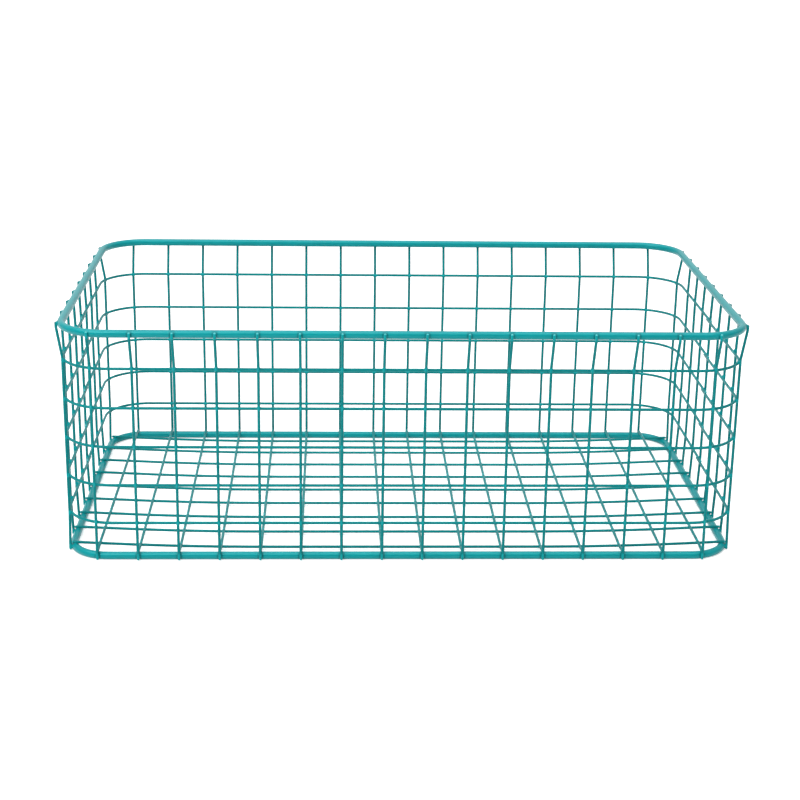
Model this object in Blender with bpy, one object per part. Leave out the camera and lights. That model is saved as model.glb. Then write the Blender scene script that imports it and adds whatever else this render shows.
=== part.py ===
# Open storage basket of welded steel wire, powder coated.
# A thick rim rod and a thick base ring are joined by upright wires that stand
# outside them. Five hoops lie inside the uprights, and a grid of wires laid
# over the base ring makes the floor.
# X runs along the long sides, Y from front to back, and Z up. The origin is on
# the resting surface, below the middle of the basket.

import math

import bmesh
import bpy
from mathutils import Vector

# Stock, in metres
wire_diameter = 0.0016
rod_diameter = 0.0049

# The square mesh, and how many wires stand across each side
mesh_pitch = 0.0254
long_wires = 16
short_wires = 9
hoop_count = 5

# From the outermost uprights' lines out to the hoops' centre lines
hoop_end_reach = 0.0201
hoop_side_reach = 0.0164
hoop_corner_radius = 0.0300

# Heights of the centre lines, each above the one below
lowest_hoop_rise = 0.0235
hoop_spacing = 0.0250
rim_rise = 0.0231

# The rim flares out over the long sides, and the base ring is drawn in
rim_side_flare = 0.0062
rim_end_inset = 0.0010
rim_corner_radius = 0.0290
ring_side_inset = 0.0021
ring_end_inset = 0.0023
ring_corner_radius = 0.0240

# Each hoop is two bent halves that lap at the middle of the short sides
lap_front_reach = 0.0085
lap_back_reach = 0.0030

# Uprights: how far their cut ends pass the middles of the rim and the ring
upright_head_reach = 0.0012
upright_foot_reach = 0.0017
upright_bend = 0.0020

# The floor wires ride over the ring. Inside it the mat is bent down along the
# long sides, and it dishes up towards the short sides from a level middle
floor_drop = 0.0029
floor_ramp = 0.0070
floor_edge_share = 0.14
floor_end_overhang = 0.0016
floor_level_reach = 0.0889
floor_dish_power = 2

# Welded wires touch: separate pieces keep a seat gap, fused ones sink together
seat_gap = 0.0003
weld_sink = 0.0005

# Roundness of the modelled stock
wire_resolution = 1
rod_resolution = 4
corner_steps = 6
sharp_angle = math.radians(70)
merge_distance = 0.00001

# Powder coat, linear colour
coat_colour = (0.012, 0.33, 0.36, 1.0)
coat_roughness = 0.3
coat_metallic = 0.0

wire_radius = wire_diameter / 2
rod_radius = rod_diameter / 2
rod_sides = 4 + 2 * rod_resolution
facet_turn = math.pi / rod_sides

# The base ring rests on the flat facet at its lowest side
ring_height = rod_radius * math.cos(facet_turn)
long_span = (long_wires - 1) * mesh_pitch
short_span = (short_wires - 1) * mesh_pitch
hoop_half_length = long_span / 2 + hoop_end_reach
hoop_half_width = short_span / 2 + hoop_side_reach

# Floor wires: their seat on the ring, the mat's middle, and half the step
# between its two layers
floor_seat = ring_height + rod_radius + seat_gap + wire_radius
floor_middle = floor_seat - floor_drop
floor_half_step = wire_radius - weld_sink / 2


def hoop_height(index):
    return ring_height + lowest_hoop_rise + index * hoop_spacing


rim_height = hoop_height(hoop_count - 1) + rim_rise


# An outline is a level rounded rectangle: half length, half width and corner
ring_outline = (hoop_half_length - ring_end_inset, hoop_half_width - ring_side_inset, ring_corner_radius)
hoop_outline = (hoop_half_length, hoop_half_width, hoop_corner_radius)
rim_outline = (hoop_half_length - rim_end_inset, hoop_half_width + rim_side_flare, rim_corner_radius)


def corner_points(centre_x, centre_y, radius, start_angle, height):
    # A quarter turn, anticlockwise seen from above
    points = []
    for step in range(corner_steps + 1):
        angle = start_angle + step / corner_steps * math.pi / 2
        points.append(Vector((centre_x + radius * math.cos(angle), centre_y + radius * math.sin(angle), height)))
    return points


def closed_outline(outline, height):
    half_length, half_width, radius = outline
    run_x = half_length - radius
    run_y = half_width - radius
    points = corner_points(run_x, run_y, radius, 0, height)
    points += corner_points(-run_x, run_y, radius, math.pi / 2, height)
    points += corner_points(-run_x, -run_y, radius, math.pi, height)
    points += corner_points(run_x, -run_y, radius, math.pi * 3 / 2, height)
    return points


def wall_distance(half_across, half_along, radius, place):
    # From the middle of the basket to the outline, at a place along the wall
    past_run = abs(place) - (half_along - radius)
    if past_run <= 0:
        return half_across
    return half_across - radius + math.sqrt(max(radius ** 2 - past_run ** 2, 0))


def remove_all_objects():
    for old in list(bpy.data.objects):
        bpy.data.objects.remove(old, do_unlink=True)


def coat_material(name):
    material = bpy.data.materials.new(name)
    material.use_nodes = True
    shader = material.node_tree.nodes["Principled BSDF"]
    shader.inputs["Base Color"].default_value = coat_colour
    shader.inputs["Roughness"].default_value = coat_roughness
    shader.inputs["Metallic"].default_value = coat_metallic
    material.diffuse_color = coat_colour
    return material


def bent_stock(name, paths, radius, resolution, closed=False, turn=0):
    # Round stock along one or more paths, as a mesh with capped ends
    curve = bpy.data.curves.new(name + "_path", "CURVE")
    curve.dimensions = "3D"
    curve.twist_mode = "Z_UP" if closed else "MINIMUM"
    curve.bevel_mode = "ROUND"
    curve.bevel_depth = radius
    curve.bevel_resolution = resolution
    curve.use_fill_caps = not closed
    for path in paths:
        spline = curve.splines.new("POLY")
        spline.points.add(len(path) - 1)
        for point, place in zip(spline.points, path):
            point.co = (*place, 1)
            point.tilt = turn
        spline.use_cyclic_u = closed
    guide = bpy.data.objects.new(name + "_guide", curve)
    bpy.context.scene.collection.objects.link(guide)
    bpy.context.view_layer.update()
    evaluated = guide.evaluated_get(bpy.context.evaluated_depsgraph_get())
    mesh = bpy.data.meshes.new_from_object(evaluated)
    mesh.name = name
    bpy.data.objects.remove(guide, do_unlink=True)
    bpy.data.curves.remove(curve)
    return outward(mesh)


def outward(mesh):
    # Join the end caps to the stock and turn every face outward
    work = bmesh.new()
    work.from_mesh(mesh)
    bmesh.ops.remove_doubles(work, verts=work.verts, dist=merge_distance)
    bmesh.ops.recalc_face_normals(work, faces=work.faces)
    work.to_mesh(mesh)
    work.free()
    return mesh


def add_piece(name, mesh, material):
    mesh.materials.append(material)
    piece = bpy.data.objects.new(name, mesh)
    bpy.context.scene.collection.objects.link(piece)
    shade_round(mesh)
    return piece


def shade_round(mesh):
    mesh.shade_smooth()
    mesh.set_sharp_from_angle(angle=sharp_angle)


def weld_into(piece, mesh):
    # Fuse a second mesh into the piece where their wires cross
    tool = bpy.data.objects.new(piece.name + "_weld", mesh)
    bpy.context.scene.collection.objects.link(tool)
    weld = piece.modifiers.new("Weld", "BOOLEAN")
    weld.operation = "UNION"
    weld.solver = "EXACT"
    weld.object = tool
    bpy.context.view_layer.update()
    evaluated = piece.evaluated_get(bpy.context.evaluated_depsgraph_get())
    welded = bpy.data.meshes.new_from_object(evaluated)
    piece.modifiers.clear()
    piece.data = welded
    shade_round(welded)
    bpy.data.objects.remove(tool, do_unlink=True)


def make_closed_rod(name, outline, height):
    path = closed_outline(outline, height)
    mesh = bent_stock(name, [path], rod_radius, rod_resolution, closed=True, turn=facet_turn)
    return add_piece(name, mesh, coat_material(name))


def half_hoop(side, reach, height):
    # side is -1 for the front half and 1 for the back half; its two ends pass
    # the middle of the short sides by the reach
    half_length, half_width, radius = hoop_outline
    run_x = half_length - radius
    run_y = half_width - radius
    if side > 0:
        bend = corner_points(run_x, run_y, radius, 0, height)
        bend += corner_points(-run_x, run_y, radius, math.pi / 2, height)
    else:
        bend = corner_points(-run_x, -run_y, radius, math.pi, height)
        bend += corner_points(run_x, -run_y, radius, math.pi * 3 / 2, height)
    first_end = Vector((bend[0].x, -side * reach, height))
    last_end = Vector((bend[-1].x, -side * reach, height))
    return [first_end] + bend + [last_end]


def make_hoop(index):
    name = f"hoop_{index + 1}"
    half_step = wire_radius - weld_sink / 2
    height = hoop_height(index)
    front = half_hoop(-1, lap_back_reach, height - half_step)
    back = half_hoop(1, lap_front_reach, height + half_step)
    hoop = add_piece(name, bent_stock(name, [front], wire_radius, wire_resolution), coat_material(name))
    weld_into(hoop, bent_stock(name + "_back", [back], wire_radius, wire_resolution))
    return hoop


def eased_bend(before, corner, after):
    # Two points in place of a corner, half a bend to either side of it
    into = corner + (before - corner).normalized() * upright_bend / 2
    away = corner + (after - corner).normalized() * upright_bend / 2
    return [into, away]


def upright_profile(place, along):
    # Distance out from the middle and height of an upright's centre line,
    # from its foot beside the ring to its head beside the rim
    def out(outline, stock_radius):
        half_length, half_width, radius = outline
        reach = stock_radius + seat_gap + wire_radius
        half_across = half_width if along == "x" else half_length
        half_along = half_length if along == "x" else half_width
        return wall_distance(half_across + reach, half_along + reach, radius + reach, place)

    ring_out = out(ring_outline, rod_radius)
    hoop_out = out(hoop_outline, wire_radius)
    rim_out = out(rim_outline, rod_radius)
    foot = [Vector((ring_out, ring_height - upright_foot_reach)), Vector((ring_out, ring_height + rod_radius))]
    head = [Vector((rim_out, rim_height - rod_radius)), Vector((rim_out, rim_height + upright_head_reach))]
    lower_bend = Vector((hoop_out, hoop_height(0) - wire_diameter))
    upper_bend = Vector((hoop_out, hoop_height(hoop_count - 1) + wire_diameter))
    middle = eased_bend(foot[1], lower_bend, upper_bend) + eased_bend(lower_bend, upper_bend, head[0])
    return foot + middle + head


def make_upright(name, place, along, side):
    path = []
    for point in upright_profile(place, along):
        if along == "x":
            path.append(Vector((place, side * point.x, point.y)))
        else:
            path.append(Vector((side * point.x, place, point.y)))
    return add_piece(name, bent_stock(name, [path], wire_radius, wire_resolution), coat_material(name))


def wire_places(count):
    return [(index - (count - 1) / 2) * mesh_pitch for index in range(count)]


def floor_rise(place):
    # How far the mat has risen from its middle, at a place along the basket
    past_level = max(abs(place) - floor_level_reach, 0)
    share = past_level / (ring_outline[0] - floor_level_reach)
    return (floor_drop + floor_half_step) * share ** floor_dish_power


def floor_end(ring_out, level):
    # From a cut end beyond the ring to the ring's inner edge, as distances out
    # and heights, on the way down to the level of the wire inside
    edge_height = floor_seat + (level - floor_seat) * floor_edge_share
    return [
        (ring_out + floor_end_overhang, floor_seat),
        (ring_out, floor_seat),
        (ring_out - rod_radius, edge_height),
    ]


def both_ways(profile):
    # A profile from the wire's end inward, followed by its mirror image
    return profile + [(-out, height) for out, height in reversed(profile)]


def crosswise_wire(place):
    # One floor wire from front to back, bent down inside the ring
    half_length, half_width, radius = ring_outline
    ring_out = wall_distance(half_width, half_length, radius, place)
    level = floor_middle + floor_half_step + floor_rise(place)
    profile = floor_end(ring_out, level)
    profile.append((ring_out - rod_radius - floor_ramp, level))
    return [Vector((place, out, height)) for out, height in both_ways(profile)]


def lengthwise_wire(place):
    # One floor wire from left to right, which follows the dish of the mat
    half_length, half_width, radius = ring_outline
    ring_out = wall_distance(half_length, half_width, radius, place)
    bends = [along for along in wire_places(long_wires) if along > floor_level_reach]
    dish = [(along, floor_middle - floor_half_step + floor_rise(along)) for along in reversed(bends)]
    dish.append((floor_level_reach, floor_middle - floor_half_step))
    profile = floor_end(ring_out, dish[0][1]) + dish
    return [Vector((out, place, height)) for out, height in both_ways(profile)]


def make_floor_grid():
    name = "floor_grid"
    crosswise = [crosswise_wire(place) for place in wire_places(long_wires)]
    lengthwise = [lengthwise_wire(place) for place in wire_places(short_wires)]
    grid = add_piece(name, bent_stock(name, crosswise, wire_radius, wire_resolution), coat_material(name))
    weld_into(grid, bent_stock(name + "_lengthwise", lengthwise, wire_radius, wire_resolution))
    return grid


def make_uprights():
    for index, place in enumerate(wire_places(long_wires)):
        make_upright(f"front_upright_{index + 1:02d}", place, "x", -1)
        make_upright(f"back_upright_{index + 1:02d}", place, "x", 1)
    for index, place in enumerate(wire_places(short_wires)):
        make_upright(f"left_upright_{index + 1}", place, "y", -1)
        make_upright(f"right_upright_{index + 1}", place, "y", 1)


remove_all_objects()
make_closed_rod("rim", rim_outline, rim_height)
make_closed_rod("base_ring", ring_outline, ring_height)
make_floor_grid()
for number in range(hoop_count):
    make_hoop(number)
make_uprights()
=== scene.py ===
# Wire storage basket: steel rod and wire, spot welded, in a glossy teal powder coat
# Metres, X along the long sides, Y from front to back, Z up, standing on Z = 0

import math

import bmesh
import bpy
from mathutils import Matrix, Vector


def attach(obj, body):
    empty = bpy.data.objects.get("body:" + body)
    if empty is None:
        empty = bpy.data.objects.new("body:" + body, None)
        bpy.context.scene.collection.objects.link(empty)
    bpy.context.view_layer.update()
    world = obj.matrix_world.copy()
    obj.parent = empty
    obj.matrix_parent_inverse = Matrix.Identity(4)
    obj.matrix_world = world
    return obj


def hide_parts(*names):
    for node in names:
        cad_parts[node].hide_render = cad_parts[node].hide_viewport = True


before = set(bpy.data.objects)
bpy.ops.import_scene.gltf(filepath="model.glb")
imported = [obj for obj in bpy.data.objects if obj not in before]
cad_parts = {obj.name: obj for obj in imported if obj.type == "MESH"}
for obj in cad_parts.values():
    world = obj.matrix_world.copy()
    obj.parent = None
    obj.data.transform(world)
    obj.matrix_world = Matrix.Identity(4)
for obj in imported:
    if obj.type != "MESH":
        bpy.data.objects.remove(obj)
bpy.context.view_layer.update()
print("frame: CAD nodes in place")

# Round stock and the square mesh that it is welded to
stock = {
    "wireRadius": 0.0009,   # with its coat
    "rodRadius": 0.00245,
    "wireSides": 12,
    "rodSides": 28,
    "press": 0.0002,        # how far wires are pressed into each other by the weld
    "bendStep": 7.5,        # degrees of bend for each ring of faces
    "endSteps": ((0.30, 0.95), (0.30, 0.77), (0.22, 0.42)),     # rise and width, in radii
    "beadSegments": 8,
    "beadRings": 5,
    "leastAngle": 0.0001,   # radians, below which a corner counts as straight
    "leastRun": 0.00001,
    "mergeReach": 0.000002,
}
mesh = {
    "pitch": 0.0254,
    "longWires": 16,
    "shortWires": 9,
}
halfStep = stock["wireRadius"] - stock["press"]     # from a weld to the middle of each crossed wire
upward = Vector((0, 0, 1))
backward = Vector((0, 1, 0))


# Shaping round stock

def openRing(work, place, heading, radius, sides):
    # the section of a rod or wire, square to its heading
    turn = heading.to_track_quat("Z", "Y").to_matrix().to_4x4()
    made = bmesh.ops.create_circle(work, cap_ends=False, segments=sides, radius=radius,
                                   matrix=Matrix.Translation(place) @ turn)
    return list({edge for vert in made["verts"] for edge in vert.link_edges})


def ringVerts(ring):
    return list({vert for edge in ring for vert in edge.verts})


def onlyEdges(parts):
    return [part for part in parts if isinstance(part, bmesh.types.BMEdge)]


def extrudeRing(work, ring, step):
    made = bmesh.ops.extrude_edge_only(work, edges=ring)["geom"]
    verts = [part for part in made if isinstance(part, bmesh.types.BMVert)]
    bmesh.ops.translate(work, verts=verts, vec=step)
    return onlyEdges(made)


def bendRing(work, ring, centre, axis, angle):
    steps = max(2, math.ceil(math.degrees(angle) / stock["bendStep"]))
    made = bmesh.ops.spin(work, geom=ringVerts(ring) + ring, cent=centre, axis=axis, dvec=(0, 0, 0),
                          angle=angle, steps=steps, use_merge=False, use_duplicate=False)
    return onlyEdges(made["geom_last"])


def markVerts(work, verts, label):
    layer = work.verts.layers.float[label]
    for vert in verts:
        vert[layer] = 1.0


def cutEnd(work, ring, place, heading, radius):
    # a sheared end that the coat has rounded over
    width = 1.0
    for rise, nextWidth in stock["endSteps"]:
        step = heading * radius * rise
        ring = extrudeRing(work, ring, step)
        place = place + step
        verts = ringVerts(ring)
        bmesh.ops.scale(work, vec=(nextWidth / width,) * 3, space=Matrix.Translation(-place),
                        verts=verts)
        width = nextWidth
        markVerts(work, verts, "cut")
    bmesh.ops.edgeloop_fill(work, edges=ring)


def runStock(work, kind, corners, bend, closed=False):
    # one length of rod or wire through its corners, each bent to the same radius
    radius, sides = stock[kind + "Radius"], stock[kind + "Sides"]
    heading = (corners[1] - corners[0]).normalized()
    place = corners[0]
    ring = openRing(work, place, heading, radius, sides)
    if not closed:
        cutEnd(work, ring, place, -heading, radius)
    for corner, after in zip(corners[1:-1], corners[2:]):
        leaving = (after - corner).normalized()
        angle = heading.angle(leaving)
        if angle < stock["leastAngle"]:
            continue
        setback = bend * math.tan(angle / 2)
        start = corner - heading * setback
        axis = heading.cross(leaving).normalized()
        if (start - place).length > stock["leastRun"]:
            ring = extrudeRing(work, ring, start - place)
        ring = bendRing(work, ring, start + axis.cross(heading) * bend, axis, angle)
        place = corner + leaving * setback
        heading = leaving
    ring = extrudeRing(work, ring, corners[-1] - place)
    if not closed:
        cutEnd(work, ring, corners[-1], heading, radius)


def addWeld(work, place, outward, run, size):
    # a low bead of melted steel under the coat; size is across, outward and along the run
    across = outward.cross(run).normalized()
    basis = Matrix((across, outward.normalized(), run.normalized())).transposed().to_4x4()
    shaped = Matrix.Translation(place) @ basis @ Matrix.Diagonal((*size, 1))
    made = bmesh.ops.create_uvsphere(work, u_segments=stock["beadSegments"],
                                     v_segments=stock["beadRings"], radius=1, matrix=shaped)
    markVerts(work, made["verts"], "weld")


def newWork():
    work = bmesh.new()
    work.verts.layers.float.new("weld")
    work.verts.layers.float.new("cut")
    return work


def meshFrom(work, name):
    shape = bpy.data.meshes.new(name)
    work.to_mesh(shape)
    work.free()
    return shape


def addObject(name, content):
    thing = bpy.data.objects.new(name, content)
    bpy.context.scene.collection.objects.link(thing)
    return thing


def finishPiece(name, work, material, nodes):
    bmesh.ops.remove_doubles(work, verts=work.verts, dist=stock["mergeReach"])
    bmesh.ops.recalc_face_normals(work, faces=work.faces)
    shape = meshFrom(work, name)
    shape.shade_smooth()
    shape.materials.append(material)
    piece = addObject(name, shape)
    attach(piece, "root")
    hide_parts(*nodes)


def wirePlaces(count):
    return [(index - (count - 1) / 2) * mesh["pitch"] for index in range(count)]


def wallDistance(halfAcross, halfAlong, corner, place):
    # from the middle of the basket out to a rounded rectangle, at a place along its side
    past = abs(place) - (halfAlong - corner)
    if past <= 0:
        return halfAcross
    return halfAcross - corner + math.sqrt(max(corner ** 2 - past ** 2, 0))


def pressedSide(out):
    # where a wire whose middle is this far out is welded to what it is pressed against
    return out - stock["wireRadius"] + stock["press"] / 2


# Powder coat

coat = {
    "rod": (0.002, 0.34, 0.365, 1),
    "rodDrift": (0.002, 0.31, 0.335, 1),
    "wire": (0.003, 0.265, 0.275, 1),
    "wireDrift": (0.003, 0.24, 0.25, 1),
    # thicker coat pooling at the welds, painted lighter as a highlight
    "pooledSheen": (0.006, 0.42, 0.44, 1),
    # painted shade in the grooves beside welded uprights
    "grooveShade": (0.002, 0.19, 0.21, 1),
    "paintedEndLight": (0.07, 0.62, 0.64, 1),          # painted highlight on cut ends that face the light
    "paintedEndShade": (0.01, 0.12, 0.13, 1),      # painted shade on cut ends that are turned from it
    "scuffed": (0.10, 0.26, 0.27, 1),
    "driftScale": 38.0,
    "driftDetail": 2.0,
    "driftContrast": 2.4,
    "driftStart": -0.75,
    "driftRoughness": 0.06,
    "beadShare": 0.75,      # how much of the painted highlight of pooling powder a weld bead has
    "spotReach": 0.0014,    # powder pools around each weld, and is painted lighter there as a highlight
    "spotShare": 0.8,
    "grooveReach": 0.0018,
    "markFade": (-2.0, 2.5),    # slope and start of a mark's mask, by shares of its reach
    "speckleScale": 2600.0,     # uneven patches in the painted light and shade of the cut ends
    "speckleDetail": 1.0,
    "speckleLift": 0.2,
    "scuffReach": 0.0006,
    "scuffStrength": 0.5,
    "scuffScale": 320.0,
    "scuffDetail": 2.0,
    "roughness": 0.27,
    "peelScale": 900.0,
    "peelDetail": 1.5,
    "peelDepth": 0.00002,
    "peelStrength": 0.6,
    "rodGloss": 0.12,
    "wireGloss": 0.0,
    "beadGloss": 0.9,       # melted powder gathers in a smooth bead on the cut ends
    "glossRoughness": 0.12,
    "refraction": 1.5,
    "rodTint": (0.25, 1.0, 1.0, 1),     # the pigment takes the red out of soft reflections
    "wireTint": (0.4, 1.0, 1.0, 1),
    "rodMirror": 0.42,      # what the orange peel leaves of the mirror light, of 0.5
    "wireMirror": 0.2,
}


def newGroup(name, inputs, outputs):
    group = bpy.data.node_groups.new(name, "ShaderNodeTree")
    for way, sockets in (("INPUT", inputs), ("OUTPUT", outputs)):
        for label, kind in sockets.items():
            group.interface.new_socket(label, in_out=way, socket_type="NodeSocket" + kind)
    return group, group.nodes.new("NodeGroupInput"), group.nodes.new("NodeGroupOutput")


def feed(tree, socket, value):
    # a socket takes a plain value or what another node gives
    if isinstance(value, bpy.types.NodeSocket):
        tree.links.new(value, socket)
    else:
        socket.default_value = value


def feedAll(tree, node, values):
    for label, value in values.items():
        feed(tree, node.inputs[label], value)


def mathNode(tree, operation, *values, clamp=False):
    node = tree.nodes.new("ShaderNodeMath")
    node.operation = operation
    node.use_clamp = clamp
    for socket, value in zip(node.inputs, values):
        feed(tree, socket, value)
    return node.outputs[0]


def mixColour(tree, share, first, second):
    node = tree.nodes.new("ShaderNodeMix")
    node.data_type = "RGBA"
    for index, value in ((0, share), (6, first), (7, second)):      # 6 and 7 are colours A and B
        feed(tree, node.inputs[index], value)
    return node.outputs[2]


def noiseNode(tree, place, scale, detail):
    node = tree.nodes.new("ShaderNodeTexNoise")
    feedAll(tree, node, {"Vector": place, "Scale": scale, "Detail": detail})
    return node.outputs["Fac"]


def markNode(tree, label):
    node = tree.nodes.new("ShaderNodeAttribute")
    node.attribute_name = label
    return node.outputs["Fac"]


def groupNode(tree, group, values):
    node = tree.nodes.new("ShaderNodeGroup")
    node.node_tree = group
    feedAll(tree, node, values)
    return node


def placeNode(tree, kind="Object"):
    return tree.nodes.new("ShaderNodeTexCoord").outputs[kind]


def splitAxes(tree, place):
    node = tree.nodes.new("ShaderNodeSeparateXYZ")
    feed(tree, node.inputs[0], place)
    return node.outputs


def buildCoatGroup():
    # melted powder: slow tone drift, fine orange peel, a painted highlight where powder pools at
    # welds, painted light and shade over cut ends
    group, given, result = newGroup("powderCoat", {
        "Coat": "Color", "Drift": "Color", "Pooled sheen": "Color", "Painted end": "Color",
        "Gloss roughness": "Float", "Peel scale": "Float", "Welded": "Float",
    }, {"Colour": "Color", "Roughness": "Float", "Height": "Float", "Bead": "Float"})
    place = placeNode(group)
    cut = markNode(group, "cut")
    drift = noiseNode(group, place, coat["driftScale"], coat["driftDetail"])
    peel = noiseNode(group, place, given.outputs["Peel scale"], coat["peelDetail"])
    speckle = noiseNode(group, place, coat["speckleScale"], coat["speckleDetail"])
    drifted = mathNode(group, "MULTIPLY_ADD", drift, coat["driftContrast"], coat["driftStart"],
                       clamp=True)
    colour = mixColour(group, drifted, given.outputs["Coat"], given.outputs["Drift"])
    bead = mathNode(group, "MULTIPLY", markNode(group, "weld"), coat["beadShare"])
    pooledSheen = mathNode(group, "MAXIMUM", bead, given.outputs["Welded"])
    colour = mixColour(group, pooledSheen, colour, given.outputs["Pooled sheen"])
    # the cut ends take the given painted end colour in uneven patches
    specked = mathNode(group, "ADD", speckle, coat["speckleLift"])
    paintedEndLight = mathNode(group, "MULTIPLY", cut, specked, clamp=True)
    feedAll(group, result, {
        "Colour": mixColour(group, paintedEndLight, colour, given.outputs["Painted end"]),
        "Roughness": mathNode(group, "MULTIPLY_ADD", drift, coat["driftRoughness"],
                              given.outputs["Gloss roughness"]),
        "Height": peel,
        "Bead": cut,
    })
    return group


def buildCrossingGroup():
    # one near evenly spaced marks, fading from three to five quarters of the reach
    group, given, result = newGroup("crossing", {
        "Place": "Float", "First": "Float", "Spacing": "Float", "Reach": "Float",
    }, {"Mask": "Float"})
    past = mathNode(group, "SUBTRACT", given.outputs["Place"], given.outputs["First"])
    steps = mathNode(group, "DIVIDE", past, given.outputs["Spacing"])
    away = mathNode(group, "MULTIPLY", mathNode(group, "PINGPONG", steps, 0.5),
                    given.outputs["Spacing"])
    share = mathNode(group, "DIVIDE", away, given.outputs["Reach"])
    mask = mathNode(group, "MULTIPLY_ADD", share, *coat["markFade"], clamp=True)
    feed(group, result.inputs["Mask"], mask)
    return group


def buildRestGroup():
    # scuffs where the ring slides on a shelf: a mask that fades just above the resting surface
    group, given, result = newGroup("restScuff", {"Reach": "Float", "Strength": "Float"},
                                    {"Mask": "Float"})
    place = placeNode(group)
    rise = mathNode(group, "DIVIDE", splitAxes(group, place)["Z"], given.outputs["Reach"])
    low = mathNode(group, "SUBTRACT", 1.0, rise, clamp=True)
    patch = noiseNode(group, place, coat["scuffScale"], coat["scuffDetail"])
    worn = mathNode(group, "MULTIPLY", low, patch)
    feed(group, result.inputs["Mask"], mathNode(group, "MULTIPLY", worn, given.outputs["Strength"]))
    return group


def nearMarks(tree, place, first, spacing, reach):
    node = groupNode(tree, crossingGroup, {
        "Place": place, "First": first, "Spacing": spacing, "Reach": reach})
    return node.outputs["Mask"]


def nearRod(tree, outline):
    # the marks are a metre apart, so that only one of them is on the part
    height = splitAxes(tree, placeNode(tree))["Z"]
    return nearMarks(tree, height, outline["height"], 1.0, stock["rodRadius"])


def nearCrossings(tree, reach):
    # near the lines of the mesh that cross X, and near those that cross Y
    axes = splitAxes(tree, placeNode(tree))
    return (nearMarks(tree, axes["X"], mesh["pitch"] / 2, mesh["pitch"], reach),
            nearMarks(tree, axes["Y"], 0.0, mesh["pitch"], reach))


def weldedSides(tree):
    # painted highlight where the uprights are welded at each hoop and along the ring
    height = splitAxes(tree, placeNode(tree))["Z"]
    atHoops = nearMarks(tree, height, hoops["lowest"], hoops["spacing"], coat["spotReach"])
    return mathNode(tree, "MAXIMUM", atHoops, nearRod(tree, ring))


def weldedWalls(tree):
    # and along the rim, where the long walls' welds catch the light
    return mathNode(tree, "MAXIMUM", weldedSides(tree), nearRod(tree, rim))


def weldedHoops(tree):
    return mathNode(tree, "MAXIMUM", *nearCrossings(tree, coat["spotReach"]))


def weldedMat(tree):
    return mathNode(tree, "MULTIPLY", *nearCrossings(tree, coat["spotReach"]))


def grooveShadeBeside(tree, outline):
    # painted shade in the grooves between a rod and the uprights on its outer side
    axes = splitAxes(tree, placeNode(tree))
    onLong, onShort = nearCrossings(tree, coat["grooveReach"])

    def outside(across, half, near):
        beyond = mathNode(tree, "SUBTRACT", mathNode(tree, "ABSOLUTE", across), half)
        outer = mathNode(tree, "MULTIPLY", beyond, 1 / stock["rodRadius"], clamp=True)
        return mathNode(tree, "MULTIPLY", outer, near)

    return mathNode(tree, "MAXIMUM", outside(axes["Y"], outline["halfWidth"], onLong),
                    outside(axes["X"], outline["halfLength"], onShort))


def newMaterial(name):
    material = bpy.data.materials.new(name)
    material.use_nodes = True
    return material, material.node_tree, material.node_tree.nodes["Principled BSDF"]


def coatMaterial(name, kind, welded=None, groovesOf=None, scuffed=False, ends="paintedEndLight"):
    material, tree, shader = newMaterial(name)
    surface = groupNode(tree, coatGroup, {
        "Coat": coat[kind],
        "Drift": coat[kind + "Drift"],
        "Pooled sheen": coat["pooledSheen"],
        "Painted end": coat[ends],
        "Gloss roughness": coat["roughness"],
        "Peel scale": coat["peelScale"],
    })
    # a painted highlight of pooling powder near the welds
    if welded:
        feed(tree, surface.inputs["Welded"],
             mathNode(tree, "MULTIPLY", welded(tree), coat["spotShare"]))
    colour, rough = surface.outputs["Colour"], surface.outputs["Roughness"]
    # painted shade in the grooves beside the rod's welds
    if groovesOf:
        colour = mixColour(tree, grooveShadeBeside(tree, groovesOf), colour, coat["grooveShade"])
    if scuffed:
        rest = groupNode(tree, restGroup, {
            "Reach": coat["scuffReach"], "Strength": coat["scuffStrength"]})
        colour = mixColour(tree, rest.outputs["Mask"], colour, coat["scuffed"])
        rough = mathNode(tree, "ADD", rough, rest.outputs["Mask"], clamp=True)
    bump = tree.nodes.new("ShaderNodeBump")
    feedAll(tree, bump, {
        "Strength": coat["peelStrength"],
        "Distance": coat["peelDepth"],
        "Height": surface.outputs["Height"],
    })
    bead = mathNode(tree, "MULTIPLY", surface.outputs["Bead"], coat["beadGloss"])
    feedAll(tree, shader, {
        "Base Color": colour,
        "Roughness": rough,
        "Normal": bump.outputs["Normal"],
        "Coat Weight": mathNode(tree, "ADD", bead, coat[kind + "Gloss"], clamp=True),
        "Coat Roughness": coat["glossRoughness"],
        "IOR": coat["refraction"],
        "Specular IOR Level": coat[kind + "Mirror"],
        "Specular Tint": coat[kind + "Tint"],
    })
    return material


coatGroup = buildCoatGroup()
crossingGroup = buildCrossingGroup()
restGroup = buildRestGroup()
print("materials: powder coat groups")


# Rim and base ring

rim = {
    "halfLength": 0.2096,
    "halfWidth": 0.1242,
    "corner": 0.0290,
    "height": 0.14897,
}
ring = {
    "halfLength": 0.2083,
    "halfWidth": 0.1159,
    "corner": 0.0240,
    "height": 0.00245,
}


def buildClosedRod(name, outline, material, nodes):
    work = newWork()
    length, width = outline["halfLength"], outline["halfWidth"]
    path = ((length, 0), (length, width), (-length, width),
            (-length, -width), (length, -width), (length, 0))
    corners = [Vector((x, y, outline["height"])) for x, y in path]
    runStock(work, "rod", corners, outline["corner"], closed=True)
    finishPiece(name, work, material, nodes)


rimCoat = coatMaterial("rimCoat", "rod", groovesOf=rim)
ringCoat = coatMaterial("ringCoat", "rod", groovesOf=ring, scuffed=True)
buildClosedRod("rimRod", rim, rimCoat, ["rim"])
buildClosedRod("baseRing", ring, ringCoat, ["base_ring"])
print("rods: rim and base ring")


# Hoops

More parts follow.
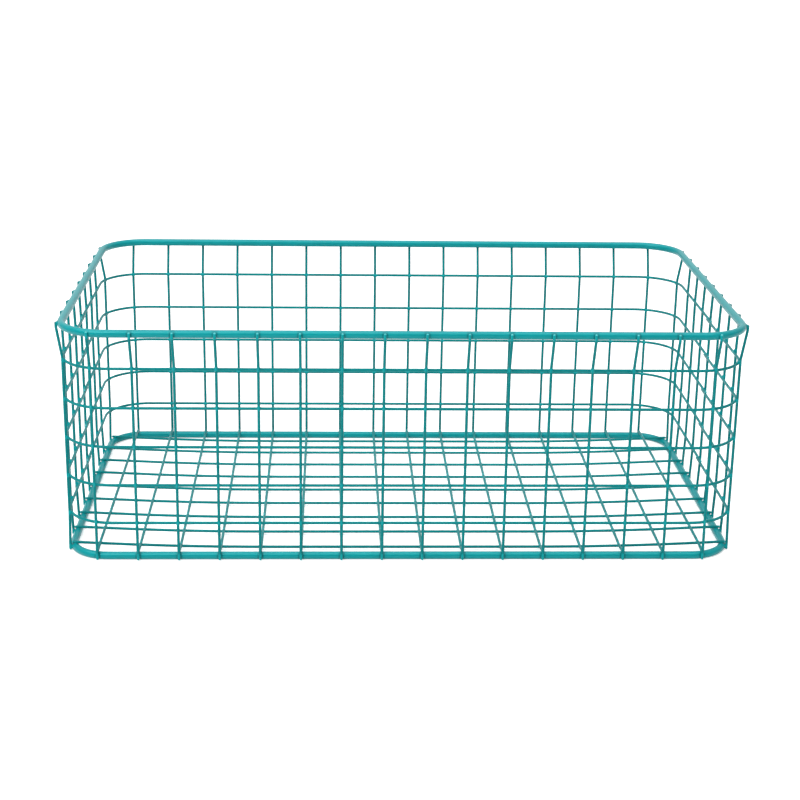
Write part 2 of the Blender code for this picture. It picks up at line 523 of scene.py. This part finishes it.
hoops = {
    "count": 5,
    "halfLength": 0.2106,
    "halfWidth": 0.1180,
    "corner": 0.0300,
    "lowest": 0.02587,
    "spacing": 0.0250,
    "frontLap": 0.0085,     # how far the back half passes the middle of the short side
    "backLap": 0.0030,      # and how far the front half does
    "lapWeldShare": 0.6,    # a second weld, this far along the front lap
    "lapWeldSize": (0.0009, 0.0007, 0.0012),
}
hoopCoat = coatMaterial("hoopCoat", "wire", welded=weldedHoops)


def hoopHeight(index):
    return hoops["lowest"] + index * hoops["spacing"]


def buildHoop(index):
    # a front half and a back half, lapped and welded on the short sides
    work = newWork()
    height = hoopHeight(index)
    length, width = hoops["halfLength"], hoops["halfWidth"]
    for side, lap, level in ((-1, hoops["backLap"], height - halfStep),
                             (1, hoops["frontLap"], height + halfStep)):
        path = ((side * length, -side * lap), (side * length, side * width),
                (-side * length, side * width), (-side * length, -side * lap))
        runStock(work, "wire", [Vector((x, y, level)) for x, y in path], hoops["corner"])
    for end in (-1, 1):
        for along in (-hoops["frontLap"] * hoops["lapWeldShare"], 0):
            addWeld(work, Vector((end * length, along, height)), Vector((end, 0, 0)), backward,
                    hoops["lapWeldSize"])
    finishPiece(f"hoop{index + 1}", work, hoopCoat, [f"hoop_{index + 1}"])


for hoopIndex in range(hoops["count"]):
    buildHoop(hoopIndex)
print("wires: five lapped hoops")


# Uprights

uprights = {
    "headReach": {"x": 0.0009, "y": 0.0004},    # past the rim's middle, on long and short walls
    "footReach": 0.0012,    # past the middle of the ring
    "bend": 0.0040,
    "weldSize": (0.0013, 0.0008, 0.0013),
    "rodWeldSize": (0.00098, 0.0007, 0.0017),
}
# the long walls' uprights have painted highlights at the rim and on their cut ends, the short
# sides' have painted shade on their cut ends
uprightCoats = {
    "x": coatMaterial("wallUprightCoat", "wire", welded=weldedWalls),
    "y": coatMaterial("sideUprightCoat", "wire", welded=weldedSides, ends="paintedEndShade"),
}


def uprightOut(outline, kind, place, along):
    # where the upright's middle stands when it is pressed against this hoop, rim or ring
    reach = stock[kind + "Radius"] + stock["wireRadius"] - stock["press"]
    across, run = outline["halfWidth"], outline["halfLength"]
    if along == "y":
        across, run = run, across
    return wallDistance(across + reach, run + reach, outline["corner"] + reach, place)


def buildUpright(name, place, along, side, node):
    work = newWork()

    def spot(out, height):
        if along == "x":
            return Vector((place, side * out, height))
        return Vector((side * out, place, height))

    ringOut = uprightOut(ring, "rod", place, along)
    hoopOut = uprightOut(hoops, "wire", place, along)
    rimOut = uprightOut(rim, "rod", place, along)
    heights = [hoopHeight(index) for index in range(hoops["count"])]
    clear = stock["wireRadius"] * 2     # cranks start a wire's thickness past the outer hoops
    corners = [
        spot(ringOut, ring["height"] - uprights["footReach"]),
        spot(ringOut, ring["height"] + stock["rodRadius"]),
        spot(hoopOut, heights[0] - clear),
        spot(hoopOut, heights[-1] + clear),
        spot(rimOut, rim["height"] - stock["rodRadius"]),
        spot(rimOut, rim["height"] + uprights["headReach"][along]),
    ]
    runStock(work, "wire", corners, uprights["bend"])
    outward = spot(1, 0) - spot(0, 0)
    for height in heights:
        addWeld(work, spot(pressedSide(hoopOut), height), outward, upward, uprights["weldSize"])
    for out, height in ((ringOut, ring["height"]), (rimOut, rim["height"])):
        addWeld(work, spot(pressedSide(out), height), outward, upward, uprights["rodWeldSize"])
    finishPiece(name, work, uprightCoats[along], [node])


for wireIndex, wirePlace in enumerate(wirePlaces(mesh["longWires"])):
    number = f"{wireIndex + 1:02d}"
    buildUpright("frontUpright" + number, wirePlace, "x", -1, "front_upright_" + number)
    buildUpright("backUpright" + number, wirePlace, "x", 1, "back_upright_" + number)
for wireIndex, wirePlace in enumerate(wirePlaces(mesh["shortWires"])):
    number = f"{wireIndex + 1}"
    buildUpright("leftUpright" + number, wirePlace, "y", -1, "left_upright_" + number)
    buildUpright("rightUpright" + number, wirePlace, "y", 1, "right_upright_" + number)
print("wires: fifty uprights with their welds")


# Floor mat

floorMat = {
    "drop": 0.0029,         # from the wires' ends on the ring down to the mat's middle
    "ramp": 0.0070,
    "edgeShare": 0.14,      # the share of the drop that is made over the ring
    "overhang": 0.0016,
    "levelReach": 0.0889,   # the mat is level this far from its middle, then dishes up
    "dishPower": 2,
    "bend": 0.0080,
    "weldSize": (0.0010, 0.0010, 0.0007),
    "endWeldSize": (0.0011, 0.0011, 0.0007),
}


def floorRise(place):
    past = max(abs(place) - floorMat["levelReach"], 0)
    share = past / (ring["halfLength"] - floorMat["levelReach"])
    return (floorMat["drop"] + halfStep) * share ** floorMat["dishPower"]


def floorEnd(ringOut, level, seat):
    # from the cut end over the ring, as distances from the middle with their heights
    edge = seat + (level - seat) * floorMat["edgeShare"]
    return [(ringOut + floorMat["overhang"], seat), (ringOut + stock["wireRadius"], seat),
            (ringOut - stock["rodRadius"], edge)]


def layFloorWire(work, side, spot):
    line = side + [(-out, height) for out, height in reversed(side)]
    runStock(work, "wire", [spot(out, height) for out, height in line], floorMat["bend"])
    ringOut, seat = side[1][0] - stock["wireRadius"], side[1][1]
    for end in (-1, 1):
        touch = spot(end * ringOut, pressedSide(seat))
        addWeld(work, touch, backward, upward, floorMat["endWeldSize"])


def buildFloorMat():
    # front-to-back wires lie on the left-to-right ones, and both ride over the ring
    work = newWork()
    longPlaces, shortPlaces = wirePlaces(mesh["longWires"]), wirePlaces(mesh["shortWires"])
    onRing = ring["height"] + stock["rodRadius"] + stock["wireRadius"]
    seat = onRing - stock["press"]
    middle = onRing - floorMat["drop"]
    for place in longPlaces:
        ringOut = wallDistance(ring["halfWidth"], ring["halfLength"], ring["corner"], place)
        level = middle + halfStep + floorRise(place)
        ramp = [(ringOut - stock["rodRadius"] - floorMat["ramp"], level)]
        layFloorWire(work, floorEnd(ringOut, level, seat) + ramp,
                     lambda out, height: Vector((place, out, height)))
    dish = [(along, middle - halfStep + floorRise(along)) for along in reversed(longPlaces)
            if along > floorMat["levelReach"]]
    dish.append((floorMat["levelReach"], middle - halfStep))
    for place in shortPlaces:
        ringOut = wallDistance(ring["halfLength"], ring["halfWidth"], ring["corner"], place)
        layFloorWire(work, floorEnd(ringOut, dish[0][1], seat) + dish,
                     lambda out, height: Vector((out, place, height)))
    for x in longPlaces:
        for y in shortPlaces:
            crossing = Vector((x, y, middle + floorRise(x)))
            addWeld(work, crossing, backward, upward, floorMat["weldSize"])
    matCoat = coatMaterial("matCoat", "wire", welded=weldedMat)
    finishPiece("floorMat", work, matCoat, ["floor_grid"])


buildFloorMat()
print("wires: floor mat")


# Stage, light and camera

studio = {
    "white": (1, 1, 1, 1),
    "floorHalf": 6.0,
    "floorColour": (0.93, 0.93, 0.93, 1),
    "floorRoughness": 0.9,
    "floorGlow": 0.6,       # seen by the camera only
    "floorShine": 0.25,     # seen in reflections only
    "sky": 0.2,
    "wallShine": 0.35,      # reflections of the room's walls, against its lit ceiling
    "frontShine": 0.3,      # and of the wall behind the camera, against the other walls
    "sweepShine": 0.85,     # reflections of the bright sweep behind the basket
    "ceilingRise": (0.15, 1.8),     # where along the ray's direction each starts, and its slope
    "frontRise": (-0.55, -3.0),
    "sweepRise": (0.6, 4.0),
    "keyStrength": 2.25,
    "keyWidth": 70,         # degrees: a broad softbox nearly overhead
    "keyPlace": (0, 0, 2),
    "keyHeading": Vector((0.15, 0.2, -1.1)),
    "nearPower": 2.8,       # watts, a smaller softbox at the front left
    "nearWidth": 0.5,
    "nearPlace": Vector((-0.5, -0.65, 0.75)),
}


def rayNode(tree, kind):
    return tree.nodes.new("ShaderNodeLightPath").outputs[kind]


def seenRays(tree):
    # one for what the camera sees, straight or by reflection and refraction
    both = mathNode(tree, "MAXIMUM", rayNode(tree, "Is Camera Ray"), rayNode(tree, "Is Glossy Ray"))
    return mathNode(tree, "MAXIMUM", both, rayNode(tree, "Is Transmission Ray"))


def buildStage():
    work = bmesh.new()
    bmesh.ops.create_grid(work, x_segments=2, y_segments=2, size=studio["floorHalf"])
    floor = addObject("studioFloor", meshFrom(work, "studioFloor"))
    material, tree, shader = newMaterial("whiteSweep")
    seen = mathNode(tree, "MULTIPLY", seenRays(tree), studio["floorShine"])
    glow = mathNode(tree, "MULTIPLY", rayNode(tree, "Is Camera Ray"),
                    studio["floorGlow"] - studio["floorShine"])
    feedAll(tree, shader, {
        "Base Color": studio["floorColour"],
        "Roughness": studio["floorRoughness"],
        "Specular IOR Level": 0.0,
        "Emission Color": studio["white"],
        "Emission Strength": mathNode(tree, "ADD", seen, glow),
    })
    floor.data.materials.append(material)


def riseNode(tree, value, start, slope):
    past = mathNode(tree, "SUBTRACT", value, start)
    return mathNode(tree, "MULTIPLY", past, slope, clamp=True)


def fadeNode(tree, value, share):
    # one less a share of the value
    return mathNode(tree, "SUBTRACT", 1.0, mathNode(tree, "MULTIPLY", value, share))


def buildAir():
    world = bpy.data.worlds.new("studioAir")
    bpy.context.scene.world = world
    world.use_nodes = True
    tree = world.node_tree
    lit = tree.nodes["Background"]
    feedAll(tree, lit, {"Color": studio["white"], "Strength": studio["sky"]})
    # reflections find a lit ceiling, greyer walls, the unlit side behind the camera and the sweep
    axes = splitAxes(tree, placeNode(tree, "Generated"))
    ceiling = riseNode(tree, axes["Z"], *studio["ceilingRise"])
    front = riseNode(tree, axes["Y"], *studio["frontRise"])
    behind = riseNode(tree, axes["Y"], *studio["sweepRise"])
    wall = mathNode(tree, "MULTIPLY", fadeNode(tree, front, 1 - studio["frontShine"]),
                    studio["wallShine"])
    sweep = mathNode(tree, "MULTIPLY", behind, studio["sweepShine"] - studio["wallShine"])
    wall = mathNode(tree, "ADD", wall, sweep)
    lift = mathNode(tree, "MULTIPLY", mathNode(tree, "SUBTRACT", 1.0, wall),
                    mathNode(tree, "SUBTRACT", 1.0, ceiling))
    white = tree.nodes.new("ShaderNodeBackground")
    feedAll(tree, white, {
        "Color": studio["white"],
        "Strength": fadeNode(tree, lift, rayNode(tree, "Is Glossy Ray")),
    })
    mix = tree.nodes.new("ShaderNodeMixShader")
    for socket, value in zip(mix.inputs, (seenRays(tree), lit.outputs[0], white.outputs[0])):
        feed(tree, socket, value)
    feed(tree, tree.nodes["World Output"].inputs["Surface"], mix.outputs[0])


def addLamp(name, kind, strength, place, heading):
    lamp = bpy.data.lights.new(name, kind)
    lamp.energy = strength
    holder = addObject(name, lamp)
    holder.location = place
    holder.rotation_euler = heading.to_track_quat("-Z", "Y").to_euler()
    return lamp


def buildLamps():
    key = addLamp("keySun", "SUN", studio["keyStrength"], studio["keyPlace"], studio["keyHeading"])
    key.angle = math.radians(studio["keyWidth"])
    nearPlace = studio["nearPlace"]
    near = addLamp("nearBox", "AREA", studio["nearPower"], nearPlace, -nearPlace)
    near.size = studio["nearWidth"]


cameraView = {
    "place": (-0.044846, -1.098512, 0.423306),
    "yaw": 2.452,           # degrees, as are pitch and roll
    "pitch": 17.917,
    "roll": -0.925,
    "focal": 1688.9,        # in pixels of the picture
    "picture": 800,
    "sensor": 36,
    "farthest": 50,
}


def aimCamera():
    yaw, pitch, roll = (math.radians(cameraView[key]) for key in ("yaw", "pitch", "roll"))
    forward = Vector((math.sin(yaw) * math.cos(pitch), math.cos(yaw) * math.cos(pitch),
                      -math.sin(pitch)))
    level = Vector((math.cos(yaw), -math.sin(yaw), 0))
    below = forward.cross(level)
    right = level * math.cos(roll) + below * math.sin(roll)
    down = below * math.cos(roll) - level * math.sin(roll)
    lens = bpy.data.cameras.new("photoCamera")
    lens.sensor_width = cameraView["sensor"]
    lens.lens = cameraView["focal"] * cameraView["sensor"] / cameraView["picture"]
    lens.clip_end = cameraView["farthest"]
    camera = addObject("photoCamera", lens)
    turn = Matrix((right, -down, -forward)).transposed().to_4x4()
    camera.matrix_world = Matrix.Translation(cameraView["place"]) @ turn
    bpy.context.scene.camera = camera


buildStage()
buildAir()
buildLamps()
aimCamera()
bpy.context.scene.view_settings.view_transform = "Standard"
print("stage, light and camera")

bpy.context.view_layer.update()
